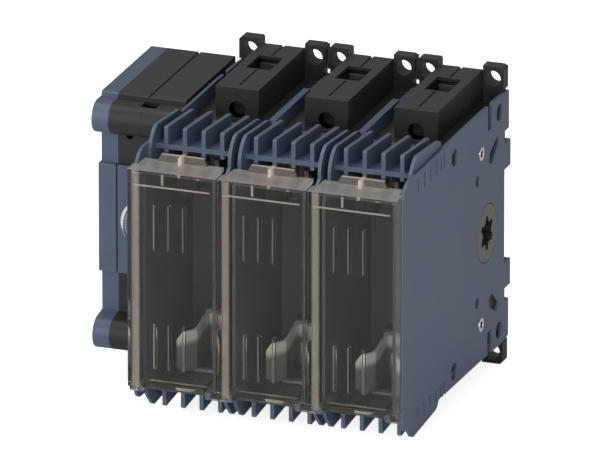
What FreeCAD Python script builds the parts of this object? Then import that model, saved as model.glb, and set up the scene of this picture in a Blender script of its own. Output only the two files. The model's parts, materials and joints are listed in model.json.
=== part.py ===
import FreeCAD, Part
import math
import os

# Three-pole fuse switch disconnector with its operating mechanism on the left.
# X runs to the right, Y to the rear (into the mounting panel) and Z up, in millimetres.
# The origin is the centre of the middle pole on the rear mounting plane, at mid height.

os.makedirs("parts", exist_ok=True)

# Pole pack
pole_count = 3
case_half_width = 16.9
plate_thickness = 1.35
half_height = 51.8
rail_height = 38.3
rail_depth = 7.0
claw_height = 10.65
notch_height = 5.1
notch_depth = 6.5
block_inset = 2.0
plate_front = 123.5
deck_drop = 5.8

# Fuse bay housing
wall = 1.3
wall_inset = 7.0
bay_back = 62.0
back_wall = 2.0
pedestal_depth = 7.4
pedestal_half_width = 8.0
fin_inset = 11.1
fin_depth = 28.8
fin_rise = 11.4
low_fin_inset = 8.1
low_fin_depth = 28.4
low_fin_rise = 9.6
fin_fall = 0.085
fin_thickness = 1.6
fin_count = 4
fin_edge_gap = 4.2
fin_foot = 3.4
deck_rise = 4.3
low_deck_rise = 3.3
deck_thickness = 1.5
bar_depth = 1.6
bar_height = 1.9

# Fuse cover
cover_gap = 0.3
cover_stand = 7.2
cover_wall = 1.6
cover_floor = 1.4
cover_low_inset = 11.5
cover_high_inset = 3.8
cover_lap = 0.4
hinge_back = 3.7
hinge_drop = 1.0
hinge_eye = 1.9
hinge_pin = 1.1
pin_play = 0.06
arm_width = 2.0
arm_play = 0.7
lug_width = 2.7
slot_width = 1.1
slot_length = 18.4
slot_pitch = 5.9
slot_drop = 22.4
slot_rise = 17.6
tab_width = 20.4

# Black pole shells
shell_wall = 1.5
rear_wall = 2.6
block_wall = 1.6
block_half_width = 8.8
block_setback = 4.0
block_rear = 5.5
block_rise = 6.9
ear_rise = 9.2
ear_gap = 0.4
ear_lap = 0.95
ear_front = 7.2
ear_chamfer = 1.2
hole_inset = 3.55
hole_drop = 5.0
hole_radius = 3.1
foot_half_width = 3.8
entry_half_width = 5.0
entry_front = 34.5
entry_gap = 0.3
screw_drop = 9.0
screw_hole = 3.4

# Switching shaft
shaft_back = 27.0
rotor_radius = 11.5
rotor_play = 0.08
plate_play = 0.3
rotor_gap = 0.2
star_radius = 7.0
star_valley = 4.9
star_depth = 5.4
star_length = 5.0
star_play = 0.12
blade_reach = 16.9
blade_width = 9.0
blade_thickness = 1.2
blade_offset = 6.0
knife_thickness = 2.4
contact_play = 0.1
knife_gap = 0.5

# Terminals and fuse jaws
tongue_thickness = 2.4
tongue_back = 16.5
clamp_wall = 2.0
clamp_depth = 15.7
clamp_inset = 2.7
clamp_half_width = 6.9
shelf_thickness = 1.4
screw_shank = 2.5
screw_head = 3.1
screw_play = 0.05
jaw_inset = 2.0
jaw_width = 16.0
jaw_length = 28.2
jaw_sheet = 1.4
jaw_grip = 3.1
jaw_half_base = 4.8
jaw_half_mouth = 7.4
jaw_shank = 2.0
jaw_head = 3.4
flange_sheet = 2.4
link_drop = 22.0
link_front = 58.0
link_width = 7.0
link_offset = 2.0

# Tie tubes
tie_back = 34.5
tie_inset = 16.8
tie_radius = 2.3
tie_bore = 1.45
tie_head = 2.75
tie_head_thickness = 0.45

# Operating mechanism
mech_gap = 1.05
mech_right_width = 14.8
mech_offset = 1.7
mech_rise = 0.6
mech_stand = 0.3
mech_wall = 2.0
side_cover_width = 6.9
roll_stand = 11.2
roll_drop = 1.8
roll_height = 12.6
dial_stand = 1.9
dial_low = 20.7
dial_high = 23.6
dial_wrap = 0.6
dial_skirt = 9.0
dial_seam = 0.5
hub_radius = 8.0
hub_stand = 1.2
hub_play = 0.08
spindle_radius = 5.0
square_socket = 8.1
socket_depth = 12.0
fixing_x = 8.3
fixing_drop = 2.7
fixing_radius = 1.45
post_half = 3.6
post_bore = 1.6

# Detent: a square cam on the hub turns between two flat springs
cam_half = 5.6
cam_setback = 9.8
cam_length = 5.0
spring_play = 0.05
spring_thickness = 0.6
spring_half_width = 1.6

# Mitre gears of the mechanism
gear_teeth = 16
gear_inset = 6.6
gear_face = 3.6
gear_addendum = 0.95
gear_dedendum = 1.3
gear_backlash = 0.36
gear_bore = 3.0
gear_web = 0.6
cup_radius = 10.0

# Values that follow from the ones above
eps = 0.01
far = 400.0
small_round_sides = 20
pole_pitch = 2 * (case_half_width + plate_thickness)
pole_centres = [(n - (pole_count - 1) / 2) * pole_pitch for n in range(pole_count)]
pack_half_width = pole_centres[-1] + case_half_width + plate_thickness
rail_half = rail_height / 2
claw_top = rail_half + claw_height
notch_top = claw_top + notch_height
deck_level = half_height - deck_drop
wall_front = plate_front - wall_inset
fin_front = wall_front - fin_inset
fin_back = fin_front - fin_depth
fin_top = deck_level + fin_rise
low_fin_front = wall_front - low_fin_inset
low_fin_back = low_fin_front - low_fin_depth
low_fin_top = deck_level + low_fin_rise
fin_pitch = 2 * (case_half_width - wall - fin_edge_gap) / (fin_count - 1)
deck_front_height = deck_level + deck_rise
low_deck_height = deck_level + low_deck_rise
cover_front = plate_front + cover_stand
cover_low = half_height - cover_low_inset
cover_high = half_height - cover_high_inset
cover_half_width = pole_pitch / 2 - cover_gap
hinge_y = -(cover_front - hinge_back)
hinge_z = -(cover_low + hinge_drop)
block_front = bay_back - block_setback
block_top = half_height + block_rise
ear_reach = half_height + ear_rise
ear_inner = block_half_width + ear_gap
ear_outer = case_half_width + ear_lap
hole_x = case_half_width - hole_inset
hole_z = ear_reach - hole_drop
entry_back = tongue_back + tongue_thickness + entry_gap
screw_height = block_top - screw_drop
clamp_base = block_top - clamp_depth
clamp_top = block_top - clamp_inset
jaw_outer = deck_level - jaw_inset
jaw_inner = jaw_outer - jaw_width
jaw_screw_height = jaw_outer - jaw_width / 2
jaw_seat = bay_back + back_wall + pedestal_depth
jaw_back = jaw_seat + flange_sheet
jaw_front = jaw_back + jaw_length
link_height = jaw_screw_height - link_offset
tie_height = half_height - tie_inset
mech_right = -(pack_half_width + mech_gap)
split_x = mech_right - mech_right_width
mech_left = split_x - (mech_right_width - mech_offset)
cover_left = mech_left - side_cover_width
mech_height = half_height + mech_rise
mech_front = bay_back + mech_stand
roll_nose = mech_front + roll_stand
roll_top = mech_height - roll_drop
roll_low = roll_top - roll_height
dial_front = mech_front + dial_stand
hub_front = dial_front + hub_stand
fixing_z = roll_low - fixing_drop
cam_front = mech_front - cam_setback
cam_back = cam_front - cam_length
gear_radius = mech_right_width - gear_inset
gear_back = gear_radius + gear_dedendum * math.sqrt(0.5) + gear_web


def point(x, y, z):
    return FreeCAD.Vector(x, y, z)


def box(x0, x1, y0, y1, z0, z1):
    return Part.makeBox(x1 - x0, y1 - y0, z1 - z0, point(x0, y0, z0))


def rod(radius, start, axis, length):
    return Part.makeCylinder(radius, length, start, axis)


def rod_x(radius, x0, x1, y, z):
    return rod(radius, point(x0, y, z), point(1, 0, 0), x1 - x0)


def rod_y(radius, y0, y1, x, z):
    return rod(radius, point(x, y0, z), point(0, 1, 0), y1 - y0)


def round_outline(radius, u, v):
    """Corners that stand for a small circle, so that screws and rivets stay light."""
    turns = [2 * math.pi * n / small_round_sides for n in range(small_round_sides)]
    return [(u + radius * math.cos(turn), v + radius * math.sin(turn)) for turn in turns]


def prism_x(outline, x0, x1):
    """Extrude a closed outline of (y, z) points along X."""
    corners = [point(x0, y, z) for y, z in outline]
    face = Part.Face(Part.makePolygon(corners + corners[:1]))
    return face.extrude(point(x1 - x0, 0, 0))


def prism_y(outline, y0, y1):
    """Extrude a closed outline of (x, z) points along Y."""
    corners = [point(x, y0, z) for x, z in outline]
    face = Part.Face(Part.makePolygon(corners + corners[:1]))
    return face.extrude(point(0, y1 - y0, 0))


def prism_z(outline, z0, z1):
    """Extrude a closed outline of (x, y) points along Z."""
    corners = [point(x, y, z0) for x, y in outline]
    face = Part.Face(Part.makePolygon(corners + corners[:1]))
    return face.extrude(point(0, 0, z1 - z0))


def pin_x(radius, x0, x1, y, z):
    return prism_x(round_outline(radius, y, z), x0, x1)


def pin_y(radius, y0, y1, x, z):
    return prism_y(round_outline(radius, x, z), y0, y1)


def arc_points(start, middle, end, steps):
    """Points of the arc through three (y, z) points, without its last one."""
    arc = Part.Arc(point(0, *start), point(0, *middle), point(0, *end))
    first, last = arc.FirstParameter, arc.LastParameter
    spots = [arc.value(first + (last - first) * n / steps) for n in range(steps)]
    return [(spot.y, spot.z) for spot in spots]


def fuse(shapes):
    whole = shapes[0]
    if len(shapes) > 1:
        whole = shapes[0].fuse(shapes[1:])
    return whole.removeSplitter()


def mirror_x(shape, x):
    return shape.mirror(point(x, 0, 0), point(1, 0, 0))


def mirror_z(shape):
    return shape.mirror(point(0, 0, 0), point(0, 0, 1))


def turned_over(shape, x):
    """The same piece turned half a turn about the pole's own line from front to rear."""
    copy = shape.copy()
    copy.rotate(point(x, 0, 0), point(0, 1, 0), 180)
    return copy


def at_pole(shape, x):
    copy = shape.copy()
    copy.translate(point(x, 0, 0))
    return copy


def export(name, shape):
    solids = shape.Solids
    if len(solids) == 1:
        shape = solids[0]
    shape.exportStep("parts/" + name + ".step")


# Rear edge shared by the plates, the barriers and the pole shells: rail recess, claws and notches
def rear_edge(top):
    upper = [
        (-block_inset, top),
        (-block_inset, notch_top),
        (-notch_depth, notch_top),
        (-notch_depth, claw_top),
        (0, claw_top),
        (0, rail_half),
        (-rail_depth, rail_half),
    ]
    lower = [(y, -z) for y, z in reversed(upper)]
    return upper + lower


# End plates: flat blue-grey mouldings that close the pole pack and lie against the outer poles
slit_places = [wall_front - offset for offset in [10.5, 17.5, 24.5, 31.5, 36.5, 40.5]]
slit_width = 1.3
slit_low = half_height - 8.2
slit_high = half_height - 2.2
sight_hole_radius = 3.4
sight_holes = [(-13.0, half_height - 7.05), (-bay_back - 2.6, half_height - 8.1)]


def side_slits(x0, x1):
    cuts = []
    for y in slit_places:
        upper = box(x0, x1, -y - slit_width / 2, slit_width / 2 - y, slit_low, slit_high)
        cuts += [upper, mirror_z(upper)]
    return cuts


def plate_profile():
    front = -plate_front
    top = half_height
    low = -half_height
    upper = [(-12.0, top - 0.6), (-35.0, top), (-75.0, top)]
    upper += arc_points((front + 11.5, top), (front + 3.9, top - 1.8), (front, top - 8.8), 8)
    upper.append((front, top - 8.8))
    lower = [(-12.0, low + 0.6), (-34.0, low + 1.6), (-70.0, low + 2.4)]
    lower += arc_points((front + 5.0, low + 3.2), (front + 1.7, low + 4.2), (front, low + 7.8), 5)
    lower.append((front, low + 7.8))
    return rear_edge(top - 1.4) + lower + list(reversed(upper))


def end_plate():
    x0 = pole_centres[-1] + case_half_width
    x1 = x0 + plate_thickness
    low = x0 - 1
    high = x1 + 1
    plate = prism_x(plate_profile(), x0, x1)
    cuts = [rod_x(rotor_radius + plate_play, low, high, -shaft_back, 0)]
    cuts += side_slits(low, high)
    z = tie_height
    slanted = [(-15.4, z + 1.0), (-13.6, z - 1.8), (-21.2, z - 8.4), (-25.0, z - 7.0), (-23.8, z - 3.2)]
    shapes = [prism_x(slanted, low, high), box(low, high, -26.2, -21.7, half_height - 10.5, far)]
    shapes += [pin_x(tie_radius + screw_play, low, high, -tie_back, tie_height)]
    shapes += [pin_x(2.2, low, high, -38.2, tie_height - 10)]
    shapes += [pin_x(sight_hole_radius, low, high, y, z) for y, z in sight_holes]
    for shape in shapes:
        cuts += [shape, mirror_z(shape)]
    return plate.cut(cuts)


# Phase barriers: thin plates that fill the gap between neighbouring poles
def barrier(x):
    half_gap = pole_pitch / 2 - case_half_width
    top = half_height - 0.6
    step = half_height - 3.4
    front = 16.5 - wall_front
    upper = [(-29.4, step), (-29.4, top), (-67.6, top), (-70.0, step - 3), (front, step - 3)]
    lower = [(y, -z) for y, z in upper]
    outline = rear_edge(step) + lower + list(reversed(upper))
    plate = prism_x(outline, x - half_gap, x + half_gap)
    low = x - far
    high = x + far
    cuts = [rod_x(rotor_radius + plate_play, low, high, -shaft_back, 0)]
    hole = pin_x(tie_radius + screw_play, low, high, -tie_back, tie_height)
    cuts += [hole, mirror_z(hole)]
    return plate.cut(cuts)


# Fuse bay housing of one pole: side walls, sloping decks, fins, cross bars and hinge arms
def wall_profile():
    front = -wall_front
    deck = deck_level
    upper = [(front, deck - 8.0), (front + 1.2, deck - 3.0)]
    upper += arc_points((front + 5.9, deck), (front + 7.9, deck + 7.8), (-fin_front + 2, fin_top - 0.1), 6)
    upper.append((-fin_front + 2, fin_top - 0.1))
    rear = -fin_back
    upper += arc_points((rear - 3.5, deck + 9.3), (rear - 0.6, deck + 8.0), (rear + 0.6, deck + 5.4), 4)
    upper += [(rear + 0.6, deck + 5.4), (rear + 0.9, deck), (-bay_back, deck)]
    rear = -low_fin_back
    lower = [(-bay_back, -deck), (rear + 2, -deck)]
    lower += arc_points((rear + 1.8, -deck - 3.4), (rear + 0.6, -deck - 6.0), (rear - 2.6, -deck - 7.6), 4)
    lower += [(rear - 2.6, -deck - 7.6), (-low_fin_front + 1, -low_fin_top)]
    lower.append((-low_fin_front - 0.8, 0.7 - low_fin_top))
    lower += [(front + 2.3, -deck - 4.2), (front + 0.7, -deck - 1.8), (front, 8.0 - deck)]
    return upper + lower


def fin(x, front, back, top, height, sign):
    """One ventilation fin: it stands on the deck and its edge falls towards the rear."""
    foot = deck_level - 0.6
    fall = (front - back) * fin_fall
    outline = [
        (-front, height - fin_foot),
        (-front, top - 0.6),
        (-front + 0.6, top),
        (-back, top - fall),
        (-back, foot),
        (-front + 6, foot + 0.8),
    ]
    return prism_x([(y, z * sign) for y, z in outline], x - fin_thickness / 2, x + fin_thickness / 2)


def deck(front, back, height, sign):
    """Sloping deck under the fins, from the cross bar back to the rear wall of the bay."""
    low = deck_level - deck_thickness
    outline = [
        (-front + bar_depth, height),
        (-back, deck_level),
        (-bay_back, deck_level),
        (-bay_back, low),
        (-back - 0.3, low),
        (-front + bar_depth, height - deck_thickness),
    ]
    inner = case_half_width - wall + eps
    return prism_x([(y, z * sign) for y, z in outline], -inner, inner)


def hinge_arm(x0, x1, root_x0, root_x1):
    """Arm with the eye for one hinge pin, and the root that joins it to the side wall."""
    eye = rod_x(hinge_eye, x0, x1, hinge_y, hinge_z)
    top = hinge_z + hinge_eye
    low = hinge_z - hinge_eye
    front = 0.5 - wall_front
    back = front + 6.0
    arm = [(hinge_y, low), (hinge_y, top), (back, top - 0.4), (back, low - 1.5), (front, low - 1.5)]
    root = box(root_x0, root_x1, front, back, low - 1.5, top - 0.4)
    return [eye, prism_x(arm, x0, x1), root]


def pole_case():
    inner = case_half_width - wall
    pieces = [prism_x(wall_profile(), x0, x0 + wall) for x0 in [-case_half_width, inner]]
    back = -bay_back - back_wall
    pieces.append(box(-inner - eps, inner + eps, back, -bay_back, -deck_level, deck_level))
    rows = [(fin_front, fin_back, fin_top, deck_front_height, 1)]
    rows.append((low_fin_front, low_fin_back, low_fin_top, low_deck_height, -1))
    for front, rear, top, height, sign in rows:
        pieces.append(deck(front, rear, height, sign))
        z0, z1 = sorted([height * sign, (height - bar_height) * sign])
        pieces.append(box(-inner - eps, inner + eps, -front, -front + bar_depth, z0, z1))
        for n in range(fin_count):
            x = (n - (fin_count - 1) / 2) * fin_pitch
            pieces.append(fin(x, front, rear, top, height, sign))
    arm_out = inner - arm_play
    pieces += hinge_arm(arm_out - arm_width, arm_out, arm_out - arm_width, inner + eps)
    pieces += hinge_arm(-arm_out, -arm_out + arm_width, -inner - eps, -arm_out + arm_width)
    # Pedestals that carry the fuse jaws
    half = pedestal_half_width
    pedestal = box(-half, half, -jaw_seat, back + eps, jaw_inner - 1, jaw_outer + 1)
    pieces += [pedestal, mirror_z(pedestal)]
    case = fuse(pieces)
    link_x0 = blade_offset - knife_thickness / 2
    link_x1 = blade_offset + knife_thickness / 2
    link_slot = box(link_x0, link_x1, -far, 0, link_height - link_width / 2, link_height + link_width / 2)
    screw = pin_y(jaw_shank + screw_play, -far, back + 1, 0, jaw_screw_height)
    cuts = [link_slot, turned_over(link_slot, 0), screw, mirror_z(screw)]
    # Windows behind the holes and slits of the end plates
    y, z = sight_holes[1]
    edge = sight_hole_radius + 0.4
    cuts.append(box(-far, far, y - edge, y + edge, z - edge, deck_level - deck_thickness))
    cuts.append(box(-far, far, y - edge, y + edge, deck_thickness - deck_level, edge - z))
    depth = wall - 0.5
    for x0 in [-case_half_width - eps, case_half_width - depth]:
        pocket = box(x0, x0 + depth + eps, -slit_places[0] - 1, 1 - slit_places[-1], slit_low, slit_high)
        cuts += [pocket, mirror_z(pocket)]
    cuts.append(rod_x(hinge_pin + pin_play, -far, far, hinge_y, hinge_z))
    return case.cut(cuts)


# Black half shell of one pole, right half: chamber wall, deck, terminal block and mounting ears
def shell_rear(x0, x1):
    depth = rail_depth + rear_wall
    outline = rear_edge(deck_level) + [(-depth, -deck_level), (-depth, deck_level)]
    return prism_x(outline, x0, x1)


def ear():
    """Mounting ear with the raised foot that meets the panel around its hole."""
    root = box(ear_inner, case_half_width, -ear_front, -block_inset, deck_level - 1, half_height)
    low = half_height
    tip = ear_reach
    cut = ear_chamfer
    outline = [
        (ear_inner, low),
        (ear_outer, low),
        (ear_outer, tip - cut),
        (ear_outer - cut, tip),
        (ear_inner, tip),
    ]
    tongue = prism_y(outline, -ear_front, -block_inset)
    half = foot_half_width
    foot = box(hole_x - half, hole_x + half, -block_inset - eps, 0, hole_z - half, hole_z + half)
    return [root, tongue, foot]


def terminal_block():
    """Hollow block over the box clamp, open below into the switching chamber."""
    outer = box(0, block_half_width, -block_front, -block_rear, deck_level - 1, block_top)
    wall_in = block_wall
    inside = block_half_width - wall_in
    hollow = box(-1, inside, wall_in - block_front, -block_rear - wall_in, 0, block_top - wall_in)
    return outer.cut(hollow)


def shell_half():
    inner = case_half_width - shell_wall
    deck_low = deck_level - block_wall
    block_inside = block_half_width - block_wall
    pieces = [box(inner, case_half_width, -bay_back, -rail_depth - eps, -deck_level, deck_level)]
    pieces.append(shell_rear(0, case_half_width))
    for flip in [False, True]:
        top = [box(block_inside, case_half_width, -bay_back, -rail_depth - eps, deck_low, deck_level)]
        top.append(box(0, block_half_width, -bay_back, block_wall - block_front, deck_low, deck_level))
        top.append(terminal_block())
        shelf_top = clamp_base
        shelf_low = clamp_base - shelf_thickness
        shelf_front = -entry_front - 6
        tongue_front = -tongue_back - tongue_thickness
        top.append(box(0, block_inside + eps, shelf_front, tongue_front, shelf_low, shelf_top))
        top.append(box(block_inside, inner + eps, shelf_front, -rail_depth - 1, shelf_low, shelf_top))
        top.append(box(0, block_inside + eps, -tongue_back, -rail_depth - 1, shelf_low, shelf_top))
        top += ear()
        if flip:
            top = [mirror_z(shape) for shape in top]
        pieces += top
    shell = fuse(pieces)
    entry = box(-1, entry_half_width, -entry_front, -entry_back, block_top - 3, far)
    screw = rod_y(screw_hole, -far, -block_front + 2, 0, screw_height)
    groove = box(-1, 0.5, -block_front + 3.5, -entry_front - 0.8, block_top - 0.6, far)
    rear_groove = box(-1, 0.5, -entry_back + 0.8, 0, block_top - 0.6, far)
    fixing = rod_y(hole_radius, -far, far, hole_x, hole_z)
    tie = pin_x(tie_radius + screw_play, 0, far, -tie_back, tie_height)
    cuts = []
    for shape in [entry, screw, groove, rear_groove, fixing, tie]:
        cuts += [shape, mirror_z(shape)]
    cuts.append(rod_x(rotor_radius + rotor_play, 0, far, -shaft_back, 0))
    return shell.cut(cuts)


# Rotor of one pole: drum with a star plug on its left and a star socket on its right
def star(radius, valley, x0, x1):
    lobes = 6
    corners = []
    for n in range(lobes):
        for turn, reach in [(-9, radius), (9, radius), (21, valley), (39, valley)]:
            angle = math.radians(n * 360 / lobes + turn)
            corners.append((-shaft_back + reach * math.sin(angle), reach * math.cos(angle)))
    return prism_x(corners, x0, x1)


def moving_blades():
    """Two double blades through the drum; they lie level while the switch is open."""
    half = blade_width / 2
    shoulder = blade_reach - half / 2
    corners = [(blade_reach, half / 2), (shoulder, half), (-shoulder, half), (-blade_reach, half / 2)]
    corners += [(y, -z) for y, z in reversed(corners)]
    outline = [(y - shaft_back, z) for y, z in corners]
    blades = []
    for middle in [-blade_offset, blade_offset]:
        for side in [-1, 1]:
            near = middle + side * (knife_thickness / 2 + contact_play)
            away = near + side * blade_thickness
            blades.append(prism_x(outline, min(near, away), max(near, away)))
    return blades


def rotor():
    half = pole_pitch / 2 - rotor_gap / 2
    drum = rod_x(rotor_radius, -half, half, -shaft_back, 0)
    plug = star(star_radius - star_play, star_valley - star_play, -half - star_length, -half + 1)
    socket = star(star_radius, star_valley, half - star_depth, half + 1)
    drum = drum.fuse(plug).cut(socket)
    return drum.cut(moving_blades())


# Fixed contacts and terminals of one pole
def terminal_contact():
    """Line side contact: a terminal tongue folded into a knife that the blades close on."""
    x1 = blade_offset + knife_thickness / 2
    x0 = x1 - knife_thickness
    back = -tongue_back
    front = back - tongue_thickness
    tip = rotor_radius + knife_gap
    half = entry_half_width
    base = clamp_base
    tongue = box(-half, half, front, back, base - 5, clamp_top - 0.5)
    neck = box(-half, x1, front, back, base - 13, base - 5 + eps)
    knife_back = -shaft_back + 4
    knife_front = -shaft_back - 4
    outline = [
        (back, base - 9),
        (back, base - 19),
        (knife_back, tip),
        (knife_front, tip),
        (knife_front, tip + 5),
        (front - 6, base - 17),
        (front, base - 11),
        (front, base - 9),
    ]
    return fuse([tongue, neck, prism_x(outline, x0, x1)])


def jaw_link():
    """Flat link from the lower side of the rotor round the front to the upper fuse jaw."""
    x0 = blade_offset - knife_thickness / 2
    x1 = blade_offset + knife_thickness / 2
    tip = -(rotor_radius + knife_gap)
    base = -(link_drop + link_width / 2)
    half = link_width / 2
    seat = -jaw_seat
    outline = [
        (-shaft_back + 4, tip),
        (-shaft_back + 4, base),
        (-link_front, base),
        (-link_front, link_height - half),
        (seat, link_height - half),
        (seat, link_height + half),
        (-link_front + link_width - 1, link_height + half),
        (-link_front + link_width - 1, base + link_width),
        (-shaft_back - 4, base + link_width),
        (-shaft_back - 4, tip),
    ]
    plate = prism_x(outline, x0, x1)
    flange = box(-6, x1, seat - flange_sheet, seat, jaw_inner, jaw_outer)
    link = fuse([plate, flange])
    return link.cut(pin_y(jaw_shank + screw_play, -far, 0, 0, jaw_screw_height))


def jaw():
    """Folded fuse jaw: two leaves that grip the fuse blade, with flared lips at the front."""
    base = jaw_half_base
    floor = -jaw_back - jaw_sheet
    front = -jaw_front
    inside = [(0, floor), (base, floor), (base, front + 22), (jaw_grip, front + 12)]
    inside += [(jaw_grip, front + 8), (jaw_half_mouth, front)]
    outside = [(jaw_half_mouth + jaw_sheet, front + 0.6), (jaw_grip + jaw_sheet, front + 8.4)]
    outside += [(jaw_grip + jaw_sheet, front + 12.2), (base + jaw_sheet, front + 22.2)]
    outside += [(base + jaw_sheet, -jaw_back), (0, -jaw_back)]
    right = prism_z(inside + outside, jaw_inner, jaw_outer)
    whole = fuse([right, mirror_x(right, 0)])
    hole = pin_y(jaw_shank + screw_play, -far, 0, 0, jaw_screw_height)
    lip = []
    for z, sign in [(jaw_inner, 1), (jaw_outer, -1)]:
        corner = [(front - 1, z - sign), (front + 4, z - sign), (front - 1, z + sign * 4)]
        lip.append(prism_x(corner, -20, 20))
    return whole.cut([hole] + lip)


def jaw_spring():
    """Steel clip that straddles the two leaves from the end and presses them together."""
    near = jaw_grip + jaw_sheet
    away = near + 1.2
    top = jaw_outer + 1.6
    outline = [
        (near, jaw_inner + 1),
        (away, jaw_inner + 1),
        (away, top - 1),
        (away - 1, top),
        (1 - away, top),
        (-away, top - 1),
        (-away, jaw_inner + 1),
        (-near, jaw_inner + 1),
        (-near, jaw_outer + 0.4),
        (near, jaw_outer + 0.4),
    ]
    return prism_y(outline, -jaw_front + 8.6, -jaw_front + 11.8)


def slotted_screw(head, shank, head_front, head_length, end, x, z):
    """Pan head screw along Y with a straight slot; it points to the rear."""
    top = pin_y(head, head_front, head_front + head_length, x, z)
    body = pin_y(shank, head_front + head_length - eps, end, x, z)
    slot = box(x - far, x + far, head_front - 1, head_front + 0.9, z - 0.45, z + 0.45)
    return fuse([top, body]).cut(slot)


def box_clamp():
    """Steel box of the terminal; the cable enters from its end, beside the tongue."""
    inner_front = -entry_front - 1
    outer_front = inner_front - clamp_wall
    half = clamp_half_width
    outer = box(-half, half, outer_front, -tongue_back + clamp_wall, clamp_base, clamp_top)
    half = entry_half_width + 0.1
    inner = box(-half, half, inner_front, -tongue_back, 0, far)
    return outer.cut([inner, pin_y(screw_shank + screw_play, -far, inner_front + 1, 0, screw_height)])


def clamp_screw():
    return slotted_screw(screw_head, screw_shank, 4 - block_front, 3.4, -entry_front - 0.4, 0, screw_height)


def jaw_screw():
    head_front = -jaw_back - jaw_sheet - 1.8
    shank_end = -bay_back - back_wall - 2
    return slotted_screw(jaw_head, jaw_shank, head_front, 1.8, shank_end, 0, jaw_screw_height)


# Smoked transparent fuse cover with its finger tab, test slots and integral hinge pins
def fuse_cover():
    w = cover_half_width
    front = -cover_front
    rear = -plate_front - cover_lap
    low = -cover_low
    high = cover_high
    inside = w - cover_wall
    floor = low + cover_floor
    tray = box(-w, w, front, rear, low, high)
    tray = tray.cut(box(-inside, inside, front + cover_wall, rear + 1, floor, high - cover_wall))
    back = -wall_front
    hood = box(-w + 1.8, w - 1.8, rear - eps, back, high - cover_wall, high)
    half = tab_width / 2
    lip_outline = [(-half, high - eps), (half, high - eps)]
    lip_outline += [(half - 1.5, high + 1.5), (1.5 - half, high + 1.5)]
    lip = prism_y(lip_outline, back - 1.6, back)
    rib = box(-0.7, 0.7, back - 5, back, high - eps, high + 3.2)
    ledge = box(-w + 2.4, w - 2.4, front - 0.4, front + eps, high - 6.1, high - 5.5)
    stay = box(-4.0, -3.2, front - 0.4, front + eps, high - 4.8, high - 0.6)
    pieces = [tray, hood, lip, rib, ledge, stay]
    lug_in = w - lug_width
    arm_out = case_half_width - wall - arm_play
    for x0, x1, p0, p1 in [(lug_in, w, arm_out - arm_width, w), (-w, -lug_in, -w, arm_width - arm_out)]:
        pieces.append(rod_x(hinge_eye, x0, x1, hinge_y, hinge_z))
        pieces.append(box(x0, x1, hinge_y - hinge_eye, hinge_y + hinge_eye, hinge_z, floor))
        pieces.append(rod_x(hinge_pin, p0, p1, hinge_y, hinge_z))
    cover = fuse(pieces)
    cuts = []
    for n in range(3):
        x = (n - 1) * slot_pitch - 1.0
        for middle in [high - slot_drop, low + slot_rise]:
            half = slot_width / 2
            slot = box(-half, half, front - 1, front + cover_wall + 1, -slot_length / 2, slot_length / 2)
            slot.translate(point(x, 0, middle))
            cuts.append(slot)
    # Room for the hinge arms in the bottom wall of the cover
    for x0, x1 in [(arm_out - arm_width - 0.4, arm_out + 0.4), (-arm_out - 0.4, arm_width - arm_out + 0.4)]:
        gap = box(x0, x1, front + cover_wall, rear + 2, low - 3, low + 3)
        cuts.append(gap.cut(rod_x(hinge_pin, x0, x1, hinge_y, hinge_z)))
    return cover.cut(cuts)


# Tie tubes: tubular rivets through the whole pole pack and into the mechanism
def tie_tube(sign):
    z = tie_height * sign
    left = mech_right - mech_wall
    tube = pin_x(tie_radius, left, pack_half_width, -tie_back, z)
    outer_head = pin_x(tie_head, pack_half_width, pack_half_width + tie_head_thickness, -tie_back, z)
    inner_head = pin_x(tie_head, left - tie_head_thickness, left, -tie_back, z)
    bore = pin_x(tie_bore, left - 5, pack_half_width + 5, -tie_back, z)
    return fuse([tube, outer_head, inner_head]).cut(bore)


# Operating mechanism: outline of the housing seen from its end
def mech_profile(inset):
    back = -rail_depth - inset
    front = -mech_front + inset
    top = mech_height - inset
    roll = roll_top - inset
    middle = (-roll_nose + inset, roll_top - 5.6)
    nose = arc_points((-roll_nose + 5.0, roll), middle, (-roll_nose + 4.5, roll_low + inset), 8)
    upper = [(back, top), (front + 0.6, top), (front, top - 0.6), (front, roll)]
    upper += nose + [(-roll_nose + 4.5, roll_low + inset), (front, roll_low + inset - 1.1)]
    lower = [(y, -z) for y, z in reversed(upper)]
    return upper + lower


def hub_axis(radius, y0, y1):
    return rod_y(radius, y0, y1, split_x, 0)


post_places = [(-12.0, mech_height - 9.4), (8.3 - mech_front, 21.4 - mech_height)]


def mech_cuts():
    """Openings that both halves share: hub bores, fixing holes, notch and parting groove."""
    cuts = [hub_axis(hub_radius + hub_play, -far, -mech_front + mech_wall + 4)]
    cuts.append(hub_axis(spindle_radius + hub_play, -far, -shaft_back - 3))
    for x in [split_x - fixing_x, split_x + fixing_x]:
        for z in [-fixing_z, fixing_z]:
            cuts.append(pin_y(fixing_radius, -far, -mech_front + 5, x, z))
    notch = box(split_x - 1.4, split_x + 5.1, -roll_nose + 4.5, -mech_front - 0.4, roll_top - 4.6, far)
    cuts += [notch, mirror_z(notch)]
    for z0, z1 in [(mech_height - 0.6, far), (-far, 0.6 - mech_height)]:
        cuts.append(box(split_x - 0.5, split_x + 0.5, -mech_front, 0, z0, z1))
    return cuts


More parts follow.
